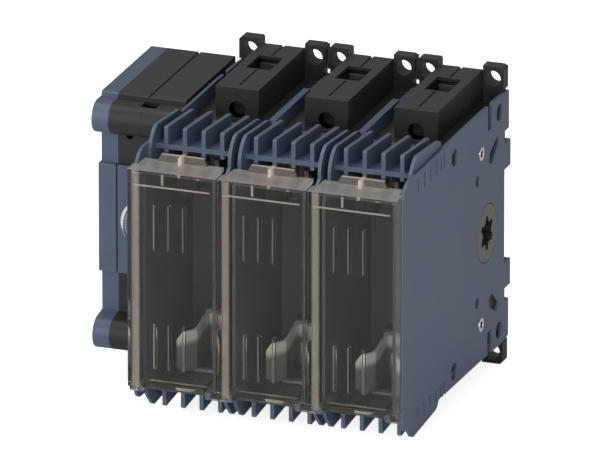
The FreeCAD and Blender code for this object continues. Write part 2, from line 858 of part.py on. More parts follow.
def mech_half(x0, x1, end_x0, end_x1):
    """A half shell with its end wall, bulkhead with half bearings and screw posts."""
    shell = prism_x(mech_profile(0), x0, x1)
    hollow_x0 = end_x1 if end_x0 <= x0 else x0 - 1
    hollow_x1 = end_x0 if end_x1 >= x1 else x1 + 1
    shell = shell.cut(prism_x(mech_profile(mech_wall), hollow_x0, hollow_x1))
    inner = mech_height - mech_wall + eps
    pieces = [shell, box(x0, x1, -shaft_back - 16, -shaft_back - 14, -inner, inner)]
    for y, z in post_places:
        pieces.append(box(x0, x1, y - post_half, y + post_half, z - post_half, z + post_half))
    half = fuse(pieces)
    cuts = mech_cuts()
    for y, z in post_places:
        cuts.append(pin_x(post_bore + screw_play, -far, far, y, z))
    return half.cut(cuts)


def left_half():
    half = mech_half(mech_left, split_x, mech_left, mech_left + mech_wall)
    ribs = spring_rests(mech_left + mech_wall - eps, mech_left + mech_wall + 3)
    return fuse([half] + ribs)


def right_half():
    x0 = split_x
    x1 = mech_right
    half = mech_half(x0, x1, x1 - mech_wall, x1)
    boss = rod_x(cup_radius + hub_play + 2, x1 - mech_wall - 2, x1, -shaft_back, 0)
    ribs = spring_rests(x1 - mech_wall - 3, x1 - mech_wall + eps)
    half = fuse([half, boss] + ribs)
    tie = pin_x(tie_radius + screw_play, x0 - 1, x1 + 1, -tie_back, tie_height)
    bearing = rod_x(cup_radius + hub_play, x0 - 1, x1 + 1, -shaft_back, 0)
    return half.cut([bearing, tie, mirror_z(tie)])


def spring_rests(x0, x1):
    middle = -(cam_front + cam_back) / 2
    low = cam_half + spring_play + spring_thickness
    rests = []
    for sign in [-1, 1]:
        z0, z1 = sorted([low * sign, (low + 4) * sign])
        rests.append(box(x0, x1, middle - 2.5, middle + 2.5, z0, z1))
    return rests


def detent_springs():
    middle = -(cam_front + cam_back) / 2
    springs = []
    for sign in [-1, 1]:
        near = cam_half + spring_play
        z0, z1 = sorted([near * sign, (near + spring_thickness) * sign])
        springs.append(box(mech_left + mech_wall, mech_right - mech_wall,
                           middle - spring_half_width, middle + spring_half_width, z0, z1))
    return springs


def side_cover():
    """Cup over the left half, with a raised band that leads the dial plate round the corner."""
    outer = prism_x(mech_profile(0), cover_left, mech_left)
    cup = prism_x(mech_profile(mech_wall), cover_left + mech_wall, mech_left + 1)
    x0 = cover_left - dial_wrap
    band = box(x0, mech_left - dial_seam / 2, -dial_front, eps - mech_front, -dial_low, dial_high)
    skirt = box(x0, cover_left + eps, -mech_front - eps, dial_skirt - mech_front, -dial_low, dial_high)
    return fuse([outer.cut(cup), band, skirt])


def dial_plate():
    x0 = mech_left + dial_seam / 2
    plate = box(x0, mech_right - 1.5, -dial_front, -mech_front, -dial_low, dial_high)
    return plate.cut(hub_axis(hub_radius + 0.25, -far, 0))


def mech_screw(y, z):
    head = pin_x(2.9, mech_left - 1.8, mech_left, y, z)
    shank = pin_x(post_bore, mech_left - eps, mech_right - mech_wall, y, z)
    slot = box(mech_left - 3, mech_left - 1.0, y - far, y + far, z - 0.4, z + 0.4)
    return fuse([head, shank]).cut(slot)


def solid_between(first, last):
    """Solid with flat faces between two outlines of the same number of corners."""
    loops = [first, last]
    loops += [[first[n - 1], first[n], last[n], last[n - 1]] for n in range(len(first))]
    shell = Part.makeShell([Part.Face(Part.makePolygon(loop + loop[:1])) for loop in loops])
    solid = Part.makeSolid(shell)
    if solid.Volume < 0:
        solid.reverse()
    return solid


# Mitre gear seen from the common cone point: its axis runs along +X
def mitre_gear(half_step):
    slope = math.sqrt(0.5)
    cone = gear_radius / slope
    shrink = (cone - gear_face) / cone
    tooth_width = math.pi * gear_radius / gear_teeth - gear_backlash
    lean = math.tan(math.radians(20))

    def section(scale, angle):
        corners = []
        root = -gear_dedendum - 0.3
        for height, side in [(root, -1), (gear_addendum, -1), (gear_addendum, 1), (root, 1)]:
            half = tooth_width / 2 - height * lean
            axial = (gear_radius - height * slope) * scale
            radial = (gear_radius + height * slope) * scale
            across = half * side * scale
            y = radial * math.cos(angle) - across * math.sin(angle)
            z = radial * math.sin(angle) + across * math.cos(angle)
            corners.append(point(axial, y, z))
        return corners

    def ring(axial, radial):
        turns = [(n + 0.5) * math.pi / gear_teeth for n in range(2 * gear_teeth)]
        return [point(axial, radial * math.cos(turn), radial * math.sin(turn)) for turn in turns]

    outer_axial = gear_radius + gear_dedendum * slope
    outer_radial = gear_radius - gear_dedendum * slope
    pieces = [solid_between(ring(outer_axial, outer_radial), ring(outer_axial * shrink, outer_radial * shrink))]
    pieces.append(solid_between(ring(gear_back, outer_radial - gear_web), ring(outer_axial, outer_radial)))
    step = 2 * math.pi / gear_teeth
    for n in range(gear_teeth):
        angle = (n + (0.5 if half_step else 0)) * step
        pieces.append(solid_between(section(1, angle), section(shrink, angle)))
    bore = rod_x(gear_bore, 0, far, 0, 0)
    return fuse(pieces).cut(bore)


def shaft_gear():
    gear = mitre_gear(False)
    gear.translate(point(split_x, -shaft_back, 0))
    return gear


def drive_gear():
    gear = mitre_gear(True)
    gear.rotate(point(0, 0, 0), point(0, 0, 1), -90)
    gear.translate(point(split_x, -shaft_back, 0))
    return gear


def output_coupling():
    """Cup with a star socket that takes the plug of the first rotor."""
    start = split_x + gear_back
    end = -pack_half_width - rotor_gap
    cup = rod_x(cup_radius, start, end, -shaft_back, 0)
    stub = rod_x(gear_bore, split_x + 5.5, start + eps, -shaft_back, 0)
    socket = star(star_radius, star_valley, end - star_depth, end + 1)
    return fuse([cup, stub]).cut(socket)


def drive_hub():
    """Hub with a square socket for the handle, a square detent cam and a spindle."""
    y_gear = -shaft_back - gear_back
    stub = hub_axis(gear_bore, y_gear - eps, -shaft_back - 5.5)
    spindle = hub_axis(spindle_radius, -cam_front, y_gear)
    head = hub_axis(hub_radius, -hub_front, -cam_front + eps)
    cam = box(split_x - cam_half, split_x + cam_half, -cam_front, -cam_back, -cam_half, cam_half)
    cam = cam.common(hub_axis(hub_radius - 0.6, -cam_front, -cam_back))
    half = square_socket / 2
    socket = box(split_x - half, split_x + half, -hub_front - 1, -hub_front + socket_depth, -half, half)
    return fuse([stub, spindle, head, cam]).cut(socket)


def group(shapes):
    return Part.makeCompound(shapes)


export("end_plate_right", end_plate())
export("end_plate_left", mirror_x(end_plate(), 0))
for n in range(pole_count - 1):
    export("phase_barrier_%d" % (n + 1), barrier(pole_centres[n] + pole_pitch / 2))

case = pole_case()
right_shell = shell_half()
left_shell = mirror_x(right_shell, 0)
pole_rotor = rotor()
blades = group(moving_blades())
cover = fuse_cover()
upper_contact = terminal_contact()
upper_link = jaw_link()
upper_jaw = jaw()
clamp = box_clamp()
clamp_bolt = clamp_screw()
jaw_bolt = jaw_screw()
spring = jaw_spring()

box_clamps = []
clamp_screws = []
jaw_screws = []
jaw_springs = []
for n, x in enumerate(pole_centres):
    label = "_%d" % (n + 1)
    export("pole_case" + label, at_pole(case, x))
    export("pole_shell_left" + label, at_pole(left_shell, x))
    export("pole_shell_right" + label, at_pole(right_shell, x))
    export("rotor" + label, at_pole(pole_rotor, x))
    export("moving_blades" + label, at_pole(blades, x))
    export("fuse_cover" + label, at_pole(cover, x))
    export("upper_terminal_contact" + label, at_pole(upper_contact, x))
    export("lower_terminal_contact" + label, turned_over(at_pole(upper_contact, x), x))
    export("upper_jaw_link" + label, at_pole(upper_link, x))
    export("lower_jaw_link" + label, turned_over(at_pole(upper_link, x), x))
    export("upper_fuse_jaw" + label, at_pole(upper_jaw, x))
    export("lower_fuse_jaw" + label, turned_over(at_pole(upper_jaw, x), x))
    fasteners = [(clamp, box_clamps), (clamp_bolt, clamp_screws)]
    fasteners += [(jaw_bolt, jaw_screws), (spring, jaw_springs)]
    for shape, gathered in fasteners:
        gathered += [at_pole(shape, x), turned_over(at_pole(shape, x), x)]

export("box_clamps", group(box_clamps))
export("clamp_screws", group(clamp_screws))
export("jaw_screws", group(jaw_screws))
export("jaw_springs", group(jaw_springs))
export("tie_tubes", group([tie_tube(1), tie_tube(-1)]))

export("mechanism_left_half", left_half())
export("mechanism_right_half", right_half())
export("mechanism_side_cover", side_cover())
export("dial_plate", dial_plate())
export("mechanism_screws", group([mech_screw(y, z) for y, z in post_places]))
export("detent_springs", group(detent_springs()))
export("drive_hub", drive_hub())
export("drive_gear", drive_gear())
export("shaft_gear", shaft_gear())
export("output_coupling", output_coupling())
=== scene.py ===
import json
import math
import bmesh
import bpy
from mathutils import Matrix, Vector

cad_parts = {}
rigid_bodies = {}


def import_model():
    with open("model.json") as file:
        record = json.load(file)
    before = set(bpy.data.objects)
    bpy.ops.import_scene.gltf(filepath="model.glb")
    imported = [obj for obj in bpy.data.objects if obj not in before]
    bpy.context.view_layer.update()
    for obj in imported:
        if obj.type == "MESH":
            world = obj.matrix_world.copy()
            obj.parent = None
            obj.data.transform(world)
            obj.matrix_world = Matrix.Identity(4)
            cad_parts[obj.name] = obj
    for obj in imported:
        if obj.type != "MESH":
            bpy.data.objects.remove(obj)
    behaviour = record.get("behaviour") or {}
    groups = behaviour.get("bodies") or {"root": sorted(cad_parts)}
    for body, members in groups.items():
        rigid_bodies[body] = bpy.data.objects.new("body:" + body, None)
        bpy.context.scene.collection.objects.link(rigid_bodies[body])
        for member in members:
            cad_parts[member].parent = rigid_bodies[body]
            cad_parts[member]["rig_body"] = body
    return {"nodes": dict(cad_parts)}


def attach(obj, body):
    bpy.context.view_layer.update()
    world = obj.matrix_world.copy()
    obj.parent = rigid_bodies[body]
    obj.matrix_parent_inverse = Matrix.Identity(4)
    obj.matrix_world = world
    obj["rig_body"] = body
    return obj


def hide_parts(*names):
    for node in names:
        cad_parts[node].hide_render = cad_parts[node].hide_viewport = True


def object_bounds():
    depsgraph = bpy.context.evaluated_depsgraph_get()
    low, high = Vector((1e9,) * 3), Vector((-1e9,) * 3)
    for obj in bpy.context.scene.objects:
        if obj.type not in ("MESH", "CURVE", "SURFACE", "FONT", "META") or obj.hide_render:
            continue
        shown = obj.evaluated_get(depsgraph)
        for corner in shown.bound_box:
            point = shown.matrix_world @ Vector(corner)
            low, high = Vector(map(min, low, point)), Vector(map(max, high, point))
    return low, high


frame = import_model()
cad_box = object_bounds()


# End plates: flat mouldings in blue-grey glass filled polyamide, with the rail claws at the rear.
# The tubular rivets clamp them against the outer poles. Their cut edges are slightly rounded
# by the tool, and the matt grain of the mould shows on the flat face.

def softened(node, rounding, material, crease=38):
    """A copy of a CAD node whose sharp edges have the small rounding of the real piece.

    The rounded faces are marked in the face attribute rim.
    """
    source = frame["nodes"][node]
    weld = 2e-5
    shape = bmesh.new()
    shape.from_mesh(source.data)
    bmesh.ops.remove_doubles(shape, verts=shape.verts, dist=weld)
    bmesh.ops.dissolve_degenerate(shape, edges=shape.edges, dist=weld)
    bmesh.ops.dissolve_limit(shape, angle_limit=math.radians(1), verts=shape.verts, edges=shape.edges)
    corner = math.radians(24)
    sharp = [edge for edge in shape.edges if edge.is_manifold and edge.calc_face_angle(0) > corner]
    rim = shape.faces.layers.float.new("rim")
    rounded = bmesh.ops.bevel(shape, geom=sharp, offset=rounding, offset_type="OFFSET", segments=2,
                              profile=0.5, affect="EDGES", material=-1, clamp_overlap=True)
    for face in rounded["faces"]:
        face[rim] = 1
    return finished(shape, node + "_finish", source["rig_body"], material, node, crease=crease)


def finished(shape, name, body, material, *nodes, crease=38):
    """Turn the mesh into a piece that rides on its body and stands for the CAD nodes."""
    mesh = bpy.data.meshes.new(name)
    shape.to_mesh(mesh)
    shape.free()
    for face in mesh.polygons:
        face.use_smooth = True
    mesh.set_sharp_from_angle(angle=math.radians(crease))
    piece = bpy.data.objects.new(name, mesh)
    bpy.context.scene.collection.objects.link(piece)
    mesh.materials.append(material)
    weighted = piece.modifiers.new("even_shading", "WEIGHTED_NORMAL")
    weighted.keep_sharp = True
    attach(piece, body)
    if nodes:
        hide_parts(*nodes)
    return piece


def group_socket(group, name, kind, way, value=None):
    socket = group.interface.new_socket(name=name, in_out=way, socket_type=kind)
    if value is not None:
        socket.default_value = value
    return socket


def moulded_surface():
    """Fine spark grain of a mould, cloudy flow marks of the filler, and rounded edges painted lighter as a
    highlight.
    """
    group = bpy.data.node_groups.new("moulded_surface", "ShaderNodeTree")
    group_socket(group, "Colour", "NodeSocketColor", "INPUT", (0.1, 0.1, 0.1, 1))
    group_socket(group, "Edge colour", "NodeSocketColor", "INPUT", (0.2, 0.2, 0.2, 1))
    group_socket(group, "Edge share", "NodeSocketFloat", "INPUT", 0.3)
    group_socket(group, "Roughness", "NodeSocketFloat", "INPUT", 0.5)
    group_socket(group, "Grain height", "NodeSocketFloat", "INPUT", 0.2)
    group_socket(group, "Colour", "NodeSocketColor", "OUTPUT")
    group_socket(group, "Roughness", "NodeSocketFloat", "OUTPUT")
    group_socket(group, "Normal", "NodeSocketVector", "OUTPUT")
    nodes, links = group.nodes, group.links
    given = nodes.new("NodeGroupInput")
    result = nodes.new("NodeGroupOutput")
    place = nodes.new("ShaderNodeTexCoord").outputs["Object"]
    grain = nodes.new("ShaderNodeTexNoise")
    grain.inputs["Scale"].default_value = 2600
    grain.inputs["Detail"].default_value = 2
    links.new(place, grain.inputs["Vector"])
    flow = nodes.new("ShaderNodeTexNoise")
    flow.inputs["Scale"].default_value = 60
    flow.inputs["Detail"].default_value = 3
    links.new(place, flow.inputs["Vector"])
    # Cloudy flow marks: the colour is a few percent lighter or darker from place to place
    tone = nodes.new("ShaderNodeMapRange")
    tone.inputs["From Min"].default_value = 0.3
    tone.inputs["From Max"].default_value = 0.7
    tone.inputs["To Min"].default_value = 0.95
    tone.inputs["To Max"].default_value = 1.05
    links.new(flow.outputs["Fac"], tone.inputs["Value"])
    speck = nodes.new("ShaderNodeMapRange")
    speck.inputs["From Min"].default_value = 0.35
    speck.inputs["From Max"].default_value = 0.65
    speck.inputs["To Min"].default_value = 0.94
    speck.inputs["To Max"].default_value = 1.06
    links.new(grain.outputs["Fac"], speck.inputs["Value"])
    both = nodes.new("ShaderNodeMath")
    both.operation = "MULTIPLY"
    links.new(tone.outputs["Result"], both.inputs[0])
    links.new(speck.outputs["Result"], both.inputs[1])
    toned = nodes.new("ShaderNodeVectorMath")
    toned.operation = "SCALE"
    links.new(given.outputs["Colour"], toned.inputs[0])
    links.new(both.outputs["Value"], toned.inputs["Scale"])
    # Painted highlight on the edges: where a rounded normal leaves the true one, the colour is painted a
    # little lighter, for the light that rounded edges catch
    true_normal = nodes.new("ShaderNodeNewGeometry")
    round_normal = nodes.new("ShaderNodeBevel")
    round_normal.samples = 4
    round_normal.inputs["Radius"].default_value = 0.0005
    turn = nodes.new("ShaderNodeVectorMath")
    turn.operation = "DOT_PRODUCT"
    links.new(true_normal.outputs["Normal"], turn.inputs[0])
    links.new(round_normal.outputs["Normal"], turn.inputs[1])
    edge = nodes.new("ShaderNodeMapRange")
    edge.inputs["From Min"].default_value = 0.99
    edge.inputs["From Max"].default_value = 0.8
    links.new(turn.outputs["Value"], edge.inputs["Value"])
    share = nodes.new("ShaderNodeMath")
    share.operation = "MULTIPLY"
    links.new(edge.outputs["Result"], share.inputs[0])
    links.new(given.outputs["Edge share"], share.inputs[1])
    edge_highlight = nodes.new("ShaderNodeMix")
    edge_highlight.data_type = "RGBA"
    links.new(share.outputs["Value"], edge_highlight.inputs["Factor"])
    links.new(toned.outputs["Vector"], edge_highlight.inputs["A"])
    links.new(given.outputs["Edge colour"], edge_highlight.inputs["B"])
    links.new(edge_highlight.outputs["Result"], result.inputs["Colour"])
    # The grain scatters the gloss unevenly
    spread = nodes.new("ShaderNodeMapRange")
    spread.inputs["To Min"].default_value = -0.07
    spread.inputs["To Max"].default_value = 0.07
    links.new(flow.outputs["Fac"], spread.inputs["Value"])
    rough = nodes.new("ShaderNodeMath")
    links.new(given.outputs["Roughness"], rough.inputs[0])
    links.new(spread.outputs["Result"], rough.inputs[1])
    links.new(rough.outputs["Value"], result.inputs["Roughness"])
    bump = nodes.new("ShaderNodeBump")
    bump.inputs["Distance"].default_value = 0.00003
    links.new(given.outputs["Grain height"], bump.inputs["Strength"])
    links.new(grain.outputs["Fac"], bump.inputs["Height"])
    links.new(bump.outputs["Normal"], result.inputs["Normal"])
    return group


surface_group = moulded_surface()


def moulded_plastic(name, slot, colour, edge_colour, edge_share, roughness, grain, shine=0.5):
    """Opaque moulded plastic with the shared moulded surface, its own colours, and an edge colour painted
    on the rounded edges as a highlight.
    """
    material = bpy.data.materials.new(name)
    material["slot"] = slot
    material.use_nodes = True
    nodes, links = material.node_tree.nodes, material.node_tree.links
    shader = nodes["Principled BSDF"]
    surface = nodes.new("ShaderNodeGroup")
    surface.node_tree = surface_group
    surface.inputs["Colour"].default_value = (*colour, 1)
    surface.inputs["Edge colour"].default_value = (*edge_colour, 1)
    surface.inputs["Edge share"].default_value = edge_share
    surface.inputs["Roughness"].default_value = roughness
    surface.inputs["Grain height"].default_value = grain
    links.new(surface.outputs["Colour"], shader.inputs["Base Color"])
    links.new(surface.outputs["Roughness"], shader.inputs["Roughness"])
    links.new(surface.outputs["Normal"], shader.inputs["Normal"])
    shader.inputs["Specular IOR Level"].default_value = shine
    return material


blue_grey = moulded_plastic("blue_grey_moulding", "blue_grey_plastic",
                            colour=(0.060, 0.082, 0.130), edge_colour=(0.13, 0.17, 0.245),
                            edge_share=0.5, roughness=0.5, grain=0.35)
for side in ["left", "right"]:
    softened("end_plate_" + side, 0.0002, blue_grey)


# Phase barriers: thin blue-grey sheets between the poles, of the same moulding material.
# Only their upper and lower edges show between the black shells.

for n in [1, 2]:
    softened("phase_barrier_%d" % n, 0.0001, blue_grey)


# Fuse bay housings: one moulding for each pole, blue-grey, with ventilation fins above and below
# and the eyes for the cover's hinge. The fins are thin, so their edges catch the light.

for n in [1, 2, 3]:
    softened("pole_case_%d" % n, 0.00018, blue_grey)


# Pole shells: each pole's switching chamber and terminal blocks are two black thermoset halves
# that meet on the groove along the block. The ears at the ends take the fixing screws.

black = moulded_plastic("black_moulding", "black_plastic",
                        colour=(0.0135, 0.0135, 0.0138), edge_colour=(0.05, 0.05, 0.051),
                        edge_share=0.45, roughness=0.5, grain=0.5, shine=0.36)
for n in [1, 2, 3]:
    for side in ["left", "right"]:
        softened("pole_shell_%s_%d" % (side, n), 0.00028, black)


# Fuse covers: clear polycarbonate tinted a smoky brown, moulded in one piece with the latch tab
# and the hinge pins. The walls are polished, so edges and steps shine, and this shine is painted into
# their colour as highlights.

def smoked_plastic(name, clearness):
    """Clear tinted plastic with painted highlights: paler where the face attribute rim says that an edge
    gathers light.
    """
    material = bpy.data.materials.new(name)
    material["slot"] = "smoked_plastic"
    material.use_nodes = True
    nodes, links = material.node_tree.nodes, material.node_tree.links
    shader = nodes["Principled BSDF"]
    shader.inputs["IOR"].default_value = 1.24
    shader.inputs["Transmission Weight"].default_value = clearness
    place = nodes.new("ShaderNodeTexCoord").outputs["Object"]
    haze = nodes.new("ShaderNodeTexNoise")
    haze.inputs["Scale"].default_value = 45
    haze.inputs["Detail"].default_value = 4
    links.new(place, haze.inputs["Vector"])
    tint = nodes.new("ShaderNodeMix")
    tint.data_type = "RGBA"
    tint.inputs["A"].default_value = (0.52, 0.482, 0.41, 1)
    tint.inputs["B"].default_value = (0.56, 0.515, 0.44, 1)
    links.new(haze.outputs["Fac"], tint.inputs["Factor"])
    # Painted highlight: the rounded edges gather light inside the wall, so they are painted paler and less
    # clear, and the rims marked highest get a painted glint
    rim = nodes.new("ShaderNodeAttribute")
    rim.attribute_name = "rim"
    edge = nodes.new("ShaderNodeMix")
    edge.data_type = "RGBA"
    edge.inputs["B"].default_value = (0.46, 0.405, 0.37, 1)
    links.new(rim.outputs["Fac"], edge.inputs["Factor"])
    links.new(tint.outputs["Result"], edge.inputs["A"])
    glint = nodes.new("ShaderNodeMapRange")
    glint.inputs["From Min"].default_value = 0.9
    links.new(rim.outputs["Fac"], glint.inputs["Value"])
    bright = nodes.new("ShaderNodeMix")
    bright.data_type = "RGBA"
    bright.inputs["B"].default_value = (0.85, 0.78, 0.71, 1)
    links.new(glint.outputs["Result"], bright.inputs["Factor"])
    links.new(edge.outputs["Result"], bright.inputs["A"])
    links.new(bright.outputs["Result"], shader.inputs["Base Color"])
    # Fingerprints and wiping marks change the polish a little
    polish = nodes.new("ShaderNodeMapRange")
    polish.inputs["From Min"].default_value = 0.4
    polish.inputs["From Max"].default_value = 0.75
    polish.inputs["To Min"].default_value = 0.0
    polish.inputs["To Max"].default_value = 0.035
    links.new(haze.outputs["Fac"], polish.inputs["Value"])
    links.new(polish.outputs["Result"], shader.inputs["Roughness"])
    # Light from the lamps passes through the tinted wall to what lies behind it
    clear = nodes.new("ShaderNodeBsdfTransparent")
    clear.inputs["Color"].default_value = (0.88, 0.86, 0.83, 1)
    ray = nodes.new("ShaderNodeLightPath")
    passing = nodes.new("ShaderNodeMixShader")
    links.new(ray.outputs["Is Shadow Ray"], passing.inputs["Fac"])
    links.new(shader.outputs["BSDF"], passing.inputs[1])
    links.new(clear.outputs["BSDF"], passing.inputs[2])
    links.new(passing.outputs["Shader"], nodes["Material Output"].inputs["Surface"])
    return material


def smoked_cover(n):
    """Cover whose slots, left wall strip, top wall and edges get painted highlights: paler, less clear
    faces for the light that thick clear walls gather.
    """
    cover = softened("fuse_cover_%d" % n, 0.00034, smoked)
    shape = bmesh.new()
    shape.from_mesh(cover.data)
    low_x = min(spot.co.x for spot in shape.verts)
    high_x = max(spot.co.x for spot in shape.verts)
    front = min(spot.co.y for spot in shape.verts)
    bottom = min(spot.co.z for spot in shape.verts if spot.co.y < front + 0.003)
    top = max(spot.co.z for spot in shape.verts)
    middle_x = (low_x + high_x) / 2
    # The tab is a little taller than its stiffening foot
    tab_lift = 0.0013
    for spot in shape.verts:
        if top - 0.0024 < spot.co.z < top - tab_lift:
            spot.co.z += tab_lift
    # Two cuts down the front mark off the strip that hides the thick left wall
    strip_left = low_x + 0.0019
    strip_right = low_x + 0.0046
    for strip_side in [strip_left, strip_right]:
        everything = shape.verts[:] + shape.edges[:] + shape.faces[:]
        bmesh.ops.bisect_plane(shape, geom=everything, dist=1e-6,
                               plane_co=(strip_side, 0, 0), plane_no=(1, 0, 0))
    front_wall = front + 0.0024
    ridge_height = 0.00036
    slots_left = low_x + 0.006
    slots_right = high_x - 0.004
    slots_top = 0.036
    tab_front = front + 0.009
    rib_back = front + 0.0128
    rib_half = 0.0009
    rim = shape.faces.layers.float["rim"]
    for face in shape.faces:
        middle = face.calc_center_median()
        normal = face.normal
        near_front = middle.y < front_wall
        among_slots = slots_left < middle.x < slots_right
        in_tab = middle.y > tab_front
        ridge = middle.y < front + ridge_height and middle.z > 0
        slot = near_front and normal.x > 0.6 and among_slots
        strip = near_front and abs(normal.y) > 0.8 and strip_left < middle.x < strip_right
        foot = middle.y < front + 0.004 and middle.z < bottom + 0.0008 and normal.z < -0.3
        tab_top = in_tab and normal.z > 0.6 and middle.z > top - 0.0016
        at_rib = in_tab and middle.y < rib_back and abs(middle.x - middle_x) < rib_half
        tab_rib = at_rib and middle.z > top - 0.0031
        end = in_tab and normal.x > 0.7 and middle.x > high_x - 0.0025 and middle.z > top - 0.0052
        # The rim value sets how strong the painted highlight is. The ends of the slots hardly show, and the
        # other rounded edges do. The tab's top, its rib and the right end of the hood get a painted glint,
        # and the ridge, slots, foot, left wall strip and top wall get paler painted highlights.
        face[rim] *= 0.3 if among_slots and abs(middle.z) < slots_top else 0.85
        if tab_top or tab_rib or end:
            face[rim] = 1
        elif ridge:
            face[rim] = 0.88
        elif slot:
            face[rim] = 0.68
        elif strip:
            face[rim] = max(face[rim], 0.33)
        elif foot:
            face[rim] = 0.7
        elif normal.z > 0.9 and middle.z > top - 0.008:
            face[rim] = max(face[rim], 0.75)
        elif normal.y < -0.7 and middle.z > top - 0.0035:
            face[rim] = 0.25
        face.material_index = int(face[rim] > 0.2) + int(face[rim] > 0.5)
    shape.to_mesh(cover.data)
    shape.free()
    cover.data.materials.append(half_clear)
    cover.data.materials.append(pale_edge)


smoked = smoked_plastic("smoked_polycarbonate", 0.99)
half_clear = smoked_plastic("smoked_polycarbonate_strip", 0.81)
pale_edge = smoked_plastic("smoked_polycarbonate_edge", 0.53)
for n in [1, 2, 3]:
    smoked_cover(n)


# Fuse jaws, links, terminals and blades: punched and folded copper. The jaws, links and blades
# are silver plated, and the terminals have a dull tin plating. The upper jaws get the dark tin colour as
# painted shade, as they lie in the shade under the top of the bay. Both are satin, with
# faint rolling lines and a darker bloom where they have tarnished.

def plated_metal(name, slot, colour, dark, roughness, line_scale, metal=1.0):
    """Plated metal with a darker bloom, and rolling lines or crystals of the given scale."""
    material = bpy.data.materials.new(name)
    material["slot"] = slot
    material.use_nodes = True
    nodes, links = material.node_tree.nodes, material.node_tree.links
    shader = nodes["Principled BSDF"]
    shader.inputs["Metallic"].default_value = metal
    place = nodes.new("ShaderNodeTexCoord").outputs["Object"]
    bloom = nodes.new("ShaderNodeTexNoise")
    bloom.inputs["Scale"].default_value = 180
    bloom.inputs["Detail"].default_value = 4
    links.new(place, bloom.inputs["Vector"])
    tarnish = nodes.new("ShaderNodeMapRange")
    tarnish.inputs["From Min"].default_value = 0.45
    tarnish.inputs["From Max"].default_value = 0.75
    links.new(bloom.outputs["Fac"], tarnish.inputs["Value"])
    mixed = nodes.new("ShaderNodeMix")
    mixed.data_type = "RGBA"
    mixed.inputs["A"].default_value = (*colour, 1)
    mixed.inputs["B"].default_value = (*dark, 1)
    links.new(tarnish.outputs["Result"], mixed.inputs["Factor"])
    links.new(mixed.outputs["Result"], shader.inputs["Base Color"])
    stretch = nodes.new("ShaderNodeMapping")
    stretch.inputs["Scale"].default_value = line_scale
    links.new(place, stretch.inputs["Vector"])
    lines = nodes.new("ShaderNodeTexNoise")
    lines.inputs["Scale"].default_value = 1
    links.new(stretch.outputs["Vector"], lines.inputs["Vector"])
    polish = nodes.new("ShaderNodeMapRange")
    polish.inputs["To Min"].default_value = roughness - 0.08
    polish.inputs["To Max"].default_value = roughness + 0.12
    links.new(lines.outputs["Fac"], polish.inputs["Value"])
    links.new(polish.outputs["Result"], shader.inputs["Roughness"])
    bump = nodes.new("ShaderNodeBump")
    bump.inputs["Strength"].default_value = 0.3
    bump.inputs["Distance"].default_value = 0.00002
    links.new(lines.outputs["Fac"], bump.inputs["Height"])
    links.new(bump.outputs["Normal"], shader.inputs["Normal"])
    return material


rolling_lines = (300, 300, 5000)
silver = plated_metal("silver_plating", "plated_contact", (0.86, 0.93, 1.0), (0.79, 0.85, 0.92), 0.3,
                      rolling_lines, metal=0.15)


def shade_below(material, low, high, share):
    """Painted shade: the plating is painted darker low in the bay, where the lower jaws lie in shade."""
    nodes, links = material.node_tree.nodes, material.node_tree.links
    base = nodes["Principled BSDF"].inputs["Base Color"]
    plated = base.links[0].from_socket
    height = nodes.new("ShaderNodeSeparateXYZ")
    links.new(nodes.new("ShaderNodeTexCoord").outputs["Object"], height.inputs["Vector"])
    shade = nodes.new("ShaderNodeMapRange")
    shade.inputs["From Min"].default_value = low
    shade.inputs["From Max"].default_value = high
    shade.inputs["To Min"].default_value = share
    links.new(height.outputs["Z"], shade.inputs["Value"])
    shaded_plating = nodes.new("ShaderNodeVectorMath")
    shaded_plating.operation = "SCALE"
    links.new(plated, shaded_plating.inputs[0])
    links.new(shade.outputs["Result"], shaded_plating.inputs["Scale"])
    links.new(shaded_plating.outputs["Vector"], base)


shade_below(silver, low=-0.0335, high=-0.031, share=0.22)
tin_and_jaw_shade = plated_metal("tin_plating_and_jaw_shade", "plated_contact", (0.16, 0.157, 0.154), (0.10, 0.098, 0.095), 0.55,
                      rolling_lines)
for n in [1, 2, 3]:
    for level in ["upper", "lower"]:
        # The upper jaws take the dark tin colour as painted shade
        jaw_finish = silver if level == "lower" else tin_and_jaw_shade
        softened("%s_fuse_jaw_%d" % (level, n), 0.00012, jaw_finish, crease=12)
        softened("%s_jaw_link_%d" % (level, n), 0.00015, silver, crease=12)
        softened("%s_terminal_contact_%d" % (level, n), 0.00015, tin_and_jaw_shade)
    softened("moving_blades_%d" % n, 0.00012, silver)


# Clamps, jaw clips and screws: steel. The box clamps and their screws have a dark passivated finish,
# painted darker still as shade, since they sit deep in the cable entries, and the clips and jaw screws are
# zinc plated with a fine crystalline bloom. The heads are slotted.

crystals = (2500, 2500, 2500)
dark_steel = plated_metal("passivated_steel_painted_dark_as_shade", "zinc_steel", (0.05, 0.05, 0.053), (0.025, 0.025, 0.026),
                          0.5, crystals)
for node in ["box_clamps", "clamp_screws"]:
    softened(node, 0.00012, dark_steel)
zinc = plated_metal("zinc_plating", "zinc_steel", (0.60, 0.61, 0.62), (0.42, 0.43, 0.45), 0.34, crystals)
for node in ["jaw_springs", "jaw_screws"]:
    softened(node, 0.00012, zinc)


# Shaft: a glass filled rotor in each pole, keyed to its neighbour by a star plug and socket.
# The last one shows its socket and end face in the right end plate.

